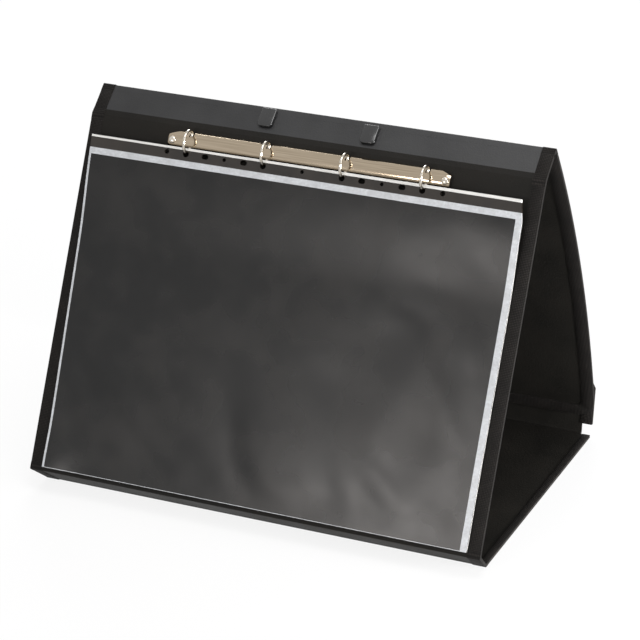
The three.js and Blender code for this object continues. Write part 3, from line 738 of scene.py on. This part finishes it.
# %% Page stack
PAGE_SHEETS = 5
PAGE_START = 1.35
PAGE_PITCH = 0.88
STRIP_PITCH = 0.5
PAGE_INSET = 0.5
INSET_CHANGE = 0.35
INSET_TURN = 2.4
FACES_SIDEWAYS = 0.9

mesh = bmesh.new()
for sheet in range(PAGE_SHEETS):
    low = PAGE_START + sheet * PAGE_PITCH
    high = STRIP_MIDDLE - STRIP_HALF + sheet * STRIP_PITCH
    inset = PAGE_INSET + INSET_CHANGE * math.sin(sheet * INSET_TURN)
    one = grid_sheet(SLEEVE_HALF - inset, SLEEVE_BOTTOM + inset, STRIP_LOW, columns=1, rows=40)
    for vert in one.verts:
        vert.co.z = low + (high - low) * climb(vert.co.y)
        vert.co.x += skew(vert.co.x, vert.co.y)
    thicken(one, one.faces[:], (0, 0, FILM_THICKNESS))
    for face in one.faces:
        face.normal_update()
        face.material_index = 1 if abs(face.normal.x) > FACES_SIDEWAYS else 0
    sheet_data = bpy.data.meshes.new("sheet")
    one.to_mesh(sheet_data)
    one.free()
    mesh.from_mesh(sheet_data)
    bpy.data.meshes.remove(sheet_data)
make_piece("sleeve_pages", mesh, "ring_panel", [strip_film, edges_and_highlight_film])

# %% [markdown]
# ## Punched strip
# All the sleeves are welded along their top and punched to fit rings of several countries, with
# round and oval holes. A rectangle and the rims of the holes are filled in one go, and the face
# is then raised, which leaves clean holes right through.

# %% Strip with its holes
HOLE_ROW = 319.7
# Depth of the pale band along the strip's top at its left and its right: cut film edges with a
# painted highlight
EDGE_AND_HIGHLIGHT_LEFT = 2.0
EDGE_AND_HIGHLIGHT_RIGHT = 2.9
# The row of rings is not quite in the middle of the board
RING_MIDDLE = -1
RING_PITCH = 80
RING_X = [RING_MIDDLE + (i - 1.5) * RING_PITCH for i in range(4)]
RING_HOLE = 3.0
ROUND_HOLE = 2.4
SMALL_HOLE = 1.8
OVAL_STRETCH = 2.2
HOLE_SIDES = 24
# X of each hole, its radius, and how much longer than round it is
holes = [(x, RING_HOLE, 0) for x in RING_X] + [(RING_MIDDLE, SMALL_HOLE, 0)]
for side in (-1, 1):
    holes += [(RING_MIDDLE + side * 60, ROUND_HOLE, OVAL_STRETCH),
              (RING_MIDDLE + side * 80, SMALL_HOLE, 0),
              (RING_MIDDLE + side * 100, ROUND_HOLE, OVAL_STRETCH),
              (RING_MIDDLE + side * 140, ROUND_HOLE, 0)]

mesh = bmesh.new()
rims = [[(x + skew(x, y), y) for x, y in (
    (-SLEEVE_HALF, STRIP_LOW), (SLEEVE_HALF, STRIP_LOW),
    (SLEEVE_HALF, STRIP_TOP), (-SLEEVE_HALF, STRIP_TOP))]]
turn = [2 * math.pi * (i + 0.5) / HOLE_SIDES for i in range(HOLE_SIDES)]
for x, radius, stretch in holes:
    rims.append([(x + radius * math.cos(a) + math.copysign(stretch / 2, math.cos(a)),
                  HOLE_ROW + radius * math.sin(a)) for a in turn])
for rim in rims:
    verts = [mesh.verts.new((x, y, STRIP_MIDDLE - STRIP_HALF)) for x, y in rim]
    for i, vert in enumerate(verts):
        mesh.edges.new((vert, verts[(i + 1) % len(verts)]))
bmesh.ops.triangle_fill(mesh, use_beauty=True, use_dissolve=False, edges=mesh.edges[:])
thicken(mesh, mesh.faces[:], (0, 0, 2 * STRIP_HALF))
edge_and_highlight_slope = Vector((2 * SLEEVE_HALF, EDGE_AND_HIGHLIGHT_LEFT - EDGE_AND_HIGHLIGHT_RIGHT, 0))
cut(mesh, (-SLEEVE_HALF, STRIP_TOP - EDGE_AND_HIGHLIGHT_LEFT, 0), (-edge_and_highlight_slope.y, edge_and_highlight_slope.x, 0))
bmesh.ops.recalc_face_normals(mesh, faces=mesh.faces)
# The top band gets the pale edge finish: partly the films' cut edges, partly a painted highlight
for face in mesh.faces:
    middle = face.calc_center_median()
    across = (middle.x + SLEEVE_HALF) / (2 * SLEEVE_HALF)
    in_edge_and_highlight = STRIP_TOP - middle.y < EDGE_AND_HIGHLIGHT_LEFT + (EDGE_AND_HIGHLIGHT_RIGHT - EDGE_AND_HIGHLIGHT_LEFT) * across
    face.material_index = 1 if in_edge_and_highlight else 0
punched_strip = make_piece("punched_strip", mesh, "ring_panel",
                           [strip_film, edges_and_highlight_film])
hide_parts("sleeve_pack")

# %% [markdown]
# ## Rings
# Each ring is round wire in two halves that meet at the top. A half is a curve with a round
# section: a short foot under the plate, a bend, and an arc. A curve keeps the wire perfectly
# round at every point, and it is turned into a mesh before it is placed.

# %% Half rings
PLATE_CENTRE = 331.8
RING_RADIUS = 10.8
RING_HEIGHT = 8.7
RAIL_HEIGHT = 3.6
WIRE_RADIUS = 1.4
FOOT_START = 5.3
FOOT_ANGLE = 15
FOOT_STEPS = 6
RING_STEPS = 24
SPLIT_HALF = 0.3


def half_ring_path(x, side):
    rise = BOARD_HALF + RING_HEIGHT
    rail = BOARD_HALF + RAIL_HEIGHT
    bend = math.radians(-FOOT_ANGLE)
    end = (RING_RADIUS * math.cos(bend), rise + RING_RADIUS * math.sin(bend))
    bend_corner = end[0] - (end[1] - rail) * math.tan(-bend)
    path = []
    for i in range(FOOT_STEPS + 1):
        t = i / FOOT_STEPS
        across = FOOT_START * (1 - t) ** 2 + bend_corner * 2 * t * (1 - t) + end[0] * t ** 2
        path.append((across, rail * (1 - t * t) + end[1] * t * t))
    split = math.pi / 2 - SPLIT_HALF / RING_RADIUS
    for i in range(1, RING_STEPS + 1):
        angle = bend + (split - bend) * i / RING_STEPS
        path.append((RING_RADIUS * math.cos(angle), rise + RING_RADIUS * math.sin(angle)))
    return [(x, PLATE_CENTRE + side * across, up) for across, up in path]


for word, side in (("upper", 1), ("lower", -1)):
    wire = bpy.data.curves.new("wire", "CURVE")
    wire.dimensions = "3D"
    wire.bevel_depth = WIRE_RADIUS
    wire.bevel_resolution = 5
    wire.use_fill_caps = True
    for x in RING_X:
        line = wire.splines.new("POLY")
        path = half_ring_path(x, side)
        line.points.add(len(path) - 1)
        for point, co in zip(line.points, path):
            point.co = (*co, 1)
    wire_object = bpy.data.objects.new("wire", wire)
    scene.collection.objects.link(wire_object)
    ready = wire_object.evaluated_get(bpy.context.evaluated_depsgraph_get())
    wire_mesh = bpy.data.meshes.new_from_object(ready)
    mesh = bmesh.new()
    mesh.from_mesh(wire_mesh)
    bmesh.ops.remove_doubles(mesh, verts=mesh.verts, dist=0.001)
    bpy.data.objects.remove(wire_object)
    bpy.data.meshes.remove(wire_mesh)
    for vert in mesh.verts:
        vert.co = PLACE["ring_panel"] @ vert.co / MM
    rings = make_piece(f"{word}_half_rings", mesh, "object", [bright_nickel])
    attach(rings, f"{word}_rail")
    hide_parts(*[f"{word}_half_ring_{i}" for i in range(1, 5)])

# %% [markdown]
# ## Cover plate and rivets
# The plate is one strip of steel pressed to a low arch, narrower at its two ends, with a notch
# on both sides of each ring. A grid is cut at the notches, bent to the arch, and given its
# thickness. The rivets are turned shapes, so their profile is spun once round.

# %% Cover plate
PLATE_HALF = 143
PLATE_WIDE = 10
PLATE_RISE = 6
PLATE_FOOT = 1.3
END_WIDE = 5.2
TAPER = 16
PLATE_THICKNESS = 0.8
ARCH_POWER = 2.6
NOTCH_HALF = 2.2
NOTCH_START = 4.7
ROUND_END = 2.5
END_DROP = 0.9


def plate_width_at(x):
    t = min(max((PLATE_HALF - abs(x)) / TAPER, 0), 1)
    return END_WIDE + (PLATE_WIDE - END_WIDE) * math.sin(t * math.pi / 2)


mesh = grid_sheet(PLATE_HALF, -PLATE_WIDE, PLATE_WIDE, columns=110, rows=16)
for x in RING_X:
    for side in (-1, 1):
        cut(mesh, (x - RING_MIDDLE + side * NOTCH_HALF, 0, 0), ALONG)
for side in (-1, 1):
    cut(mesh, (0, side * NOTCH_START, 0), ACROSS)
bmesh.ops.remove_doubles(mesh, verts=mesh.verts, dist=0.01)
notches = [f for f in mesh.faces if abs(f.calc_center_median().y) > NOTCH_START and any(
    abs(f.calc_center_median().x - x + RING_MIDDLE) < NOTCH_HALF for x in RING_X)]
bmesh.ops.delete(mesh, geom=notches, context="FACES")
for vert in mesh.verts:
    across = vert.co.y / PLATE_WIDE
    wide = plate_width_at(vert.co.x)
    inside = min((PLATE_HALF - abs(vert.co.x)) / ROUND_END, 1)
    vert.co.z = PLATE_FOOT + PLATE_RISE * (1 - abs(across * wide / PLATE_WIDE) ** ARCH_POWER)
    vert.co.z -= END_DROP * (1 - inside) ** 2
    vert.co.x += RING_MIDDLE
    vert.co.y = PLATE_CENTRE + across * wide
bmesh.ops.recalc_face_normals(mesh, faces=mesh.faces)
bmesh.ops.solidify(mesh, geom=mesh.faces[:], thickness=PLATE_THICKNESS)
plate = make_piece("arched_cover_plate", mesh, "ring_panel", [rolled_nickel])
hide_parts("ring_cover_plate")

# %% Rivets
RIVET_FROM_MIDDLE = 138.5
HEAD = 3.5
SHANK = 1.5
BACK = 2.8
BACK_LOW = -2.1
BACK_HIGH = -1.3
HEAD_LOW = 7.3
DOME_LOW = HEAD_LOW + 0.1
DOME_RISE = 1.7
DOME_ANGLES = (10, 25, 40, 55, 70, 82)
ON_AXIS = 0.001
RIVET_SIDES = 32

dome = [(HEAD * math.cos(math.radians(a)), DOME_LOW + DOME_RISE * math.sin(math.radians(a)))
        for a in DOME_ANGLES]
# Radius and height of each corner, from the back to the top of the dome
profile = [(ON_AXIS, BACK_LOW), (BACK, BACK_LOW), (HEAD, BACK_HIGH), (SHANK, BACK_HIGH),
           (SHANK, HEAD_LOW), (HEAD, HEAD_LOW), *dome, (ON_AXIS, DOME_LOW + DOME_RISE)]
for word, side in (("left", -1), ("right", 1)):
    mesh = bmesh.new()
    verts = [mesh.verts.new((r, 0, h)) for r, h in profile]
    edges = [mesh.edges.new(pair) for pair in zip(verts, verts[1:])]
    bmesh.ops.spin(mesh, geom=verts + edges, cent=(0, 0, 0), axis=(0, 0, 1),
                   angle=2 * math.pi, steps=RIVET_SIDES, use_merge=True)
    bmesh.ops.remove_doubles(mesh, verts=mesh.verts, dist=0.01)
    x = RING_MIDDLE + side * RIVET_FROM_MIDDLE
    bmesh.ops.translate(mesh, vec=(x, PLATE_CENTRE, 0), verts=mesh.verts)
    rivet = make_piece(f"domed_rivet_{word}", mesh, "ring_panel", [bright_nickel])
    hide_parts(f"plate_rivet_{word}")

# %% [markdown]
# ## Carrying handle
# A moulded strap runs along the back of the spine. Its two ends pass through slots and are held
# on the inner side by flat stops with rounded lower corners. Both are boxes with bevelled
# edges: the lower corners of a stop take a wide bevel, and all the edges a small one.

# %% Stops
STOP_SIZE = (15, 19.5, 3)
STOP_RISE = 3.1
STOP_CORNER = 3.75
STOP_EDGE = 0.9
# Word, X, and middle along the spine
STOPS = [("left", -52.5, 20.9), ("right", 52.5, 18.9)]


def add_box(mesh, size, middle):
    """A box in a mesh, and the upright edges at its corners."""
    verts = bmesh.ops.create_cube(mesh, size=1)["verts"]
    bmesh.ops.scale(mesh, vec=size, verts=verts)
    bmesh.ops.translate(mesh, vec=middle, verts=verts)
    return [e for e in mesh.edges if abs(e.verts[0].co.z - e.verts[1].co.z) > size[2] / 2]


for word, x, middle in STOPS:
    mesh = bmesh.new()
    upright = add_box(mesh, STOP_SIZE, (x, middle, STOP_RISE))
    soften(mesh, STOP_CORNER, 8, [e for e in upright if e.verts[0].co.y < middle])
    soften(mesh, STOP_EDGE, 3)
    handle_stop = make_piece(f"moulded_stop_{word}", mesh, "spine",
                             [polished_abs])
    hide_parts(f"handle_stop_{word}")

# %% Strap
STRAP_MIDDLE = 21.5
STRAP_SIZE = (117, 13, 2.2)
STRAP_RISE = -2.4
STRAP_CORNER = 5.5
STRAP_EDGE = 0.7
TAIL_SIZE = (2.2, 13, 3.6)

mesh = bmesh.new()
upright = add_box(mesh, STRAP_SIZE, (0, STRAP_MIDDLE, STRAP_RISE))
soften(mesh, STRAP_CORNER, 8, upright)
soften(mesh, STRAP_EDGE, 3)
strap = make_piece("moulded_strap", mesh, "spine", [textured_pp])
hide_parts("handle_strap")

mesh = bmesh.new()
for _, x, _ in STOPS:
    add_box(mesh, TAIL_SIZE, (x, STRAP_MIDDLE, 0))
make_piece("strap_tails", mesh, "spine", [textured_pp])

# %% [markdown]
# ## Finishes on the CAD nodes that stay
# Flat boards, rails and pads already have their true shape, so they only get their finish.

# %% Finish the carried nodes
CARRIED = {
    cover_vinyl: ["base_panel", "fore_edge_strip", "ring_panel", "flap_panel"],
    spine_vinyl: ["spine_panel"],
    rolled_nickel: ["upper_rail", "lower_rail"],
    nylon_pads: ["hook_pad_left", "hook_pad_right", "loop_pad_left", "loop_pad_right"],
}
for finish, names in CARRIED.items():
    for name in names:
        nodes[name].data.materials.clear()
        nodes[name].data.materials.append(finish)
    print(finish.name, "on", ", ".join(names))

# %% [markdown]
# ## Floor, light and background
# The binder stands on a plain white floor. For the camera the floor is mostly self-lit, so it
# fades into the background, and the rest of it is lit, so it keeps the shadow. Five soft boxes
# light the object. The one above shines along the satin spine, the one in front on the lower
# right of the film, and the others fill in the side, the inside of the tent and the back.

# %% Floor
FLOOR_HALF = 12
SELF_LIT_SHARE = 0.86


def seen_directly(tree):
    """1 for what the camera, a reflection or glass shows, and 0 for light that scatters."""
    rays = add_node(tree, "LightPath").outputs
    shown = add_node(tree, "Math", {0: rays["Is Camera Ray"], 1: rays["Is Glossy Ray"]},
                     operation="MAXIMUM")
    shown = add_node(tree, "Math", {0: shown.outputs[0], 1: rays["Is Transmission Ray"]},
                     operation="MAXIMUM")
    return shown.outputs[0]


floor_mesh = bmesh.new()
bmesh.ops.create_grid(floor_mesh, x_segments=1, y_segments=1, size=FLOOR_HALF)
floor_data = bpy.data.meshes.new("floor")
floor_mesh.to_mesh(floor_data)
floor_mesh.free()
floor = bpy.data.objects.new("floor", floor_data)
scene.collection.objects.link(floor)

floor_white = bpy.data.materials.new("matte_white_paper_floor")
floor_white.use_nodes = True
tree = floor_white.node_tree
tree.nodes.clear()
paper = add_node(tree, "BsdfDiffuse", {"Color": linear("#f4f4f4")})
glow = add_node(tree, "Emission", {"Color": (1, 1, 1, 1), "Strength": 1.0})
share = add_node(tree, "Math", {0: seen_directly(tree), 1: SELF_LIT_SHARE},
                 operation="MULTIPLY")
both = add_node(tree, "MixShader", {0: share.outputs[0], 1: paper.outputs[0],
                                    2: glow.outputs[0]})
add_node(tree, "OutputMaterial", {"Surface": both.outputs[0]})
floor_data.materials.append(floor_white)

# %% World
FILL_LIGHT = 0.3

world = bpy.data.worlds.new("studio")
scene.world = world
world.use_nodes = True
tree = world.node_tree
tree.nodes.clear()
level = add_node(tree, "MapRange", {"Value": seen_directly(tree),
                                    "To Min": FILL_LIGHT, "To Max": 1.0})
background = add_node(tree, "Background", {"Color": (1, 1, 1, 1),
                                           "Strength": level.outputs["Result"]})
add_node(tree, "OutputWorld", {"Surface": background.outputs[0]})

# %% Lamps
# Name, place, aim, width and height in metres, power in watts, tint
LAMPS = [
    ("overhead_softbox", (0.4, -0.4, 2.1), (0.05, 0.0, 0.2), 1.0, 1.0, 20, "#ffffff"),
    ("front_softbox", (-0.38, -2.0, 0.66), (0.15, -0.1, 0.1), 0.5, 0.42, 8.5, "#fff9f5"),
    ("side_softbox", (1.9, -0.5, 0.8), (0.1, 0.05, 0.12), 1.0, 1.0, 9, "#ffffff"),
    ("inside_softbox", (1.5, -0.15, 0.2), (0.1, 0.05, 0.16), 0.5, 0.4, 44, "#ffffff"),
    ("rear_softbox", (-0.7, 1.9, 1.6), (0.0, 0.1, 0.15), 1.2, 0.9, 30, "#ffffff"),
]
for name, place_at, aim, wide, tall, power, tint in LAMPS:
    lamp_data = bpy.data.lights.new(name, "AREA")
    lamp_data.shape = "RECTANGLE"
    lamp_data.size = wide
    lamp_data.size_y = tall
    lamp_data.energy = power
    lamp_data.color = linear(tint)[:3]
    lamp = bpy.data.objects.new(name, lamp_data)
    lamp.location = place_at
    lamp.rotation_euler = (Vector(aim) - Vector(place_at)).to_track_quat("-Z", "Y").to_euler()
    scene.collection.objects.link(lamp)
    print(name, power, "W")
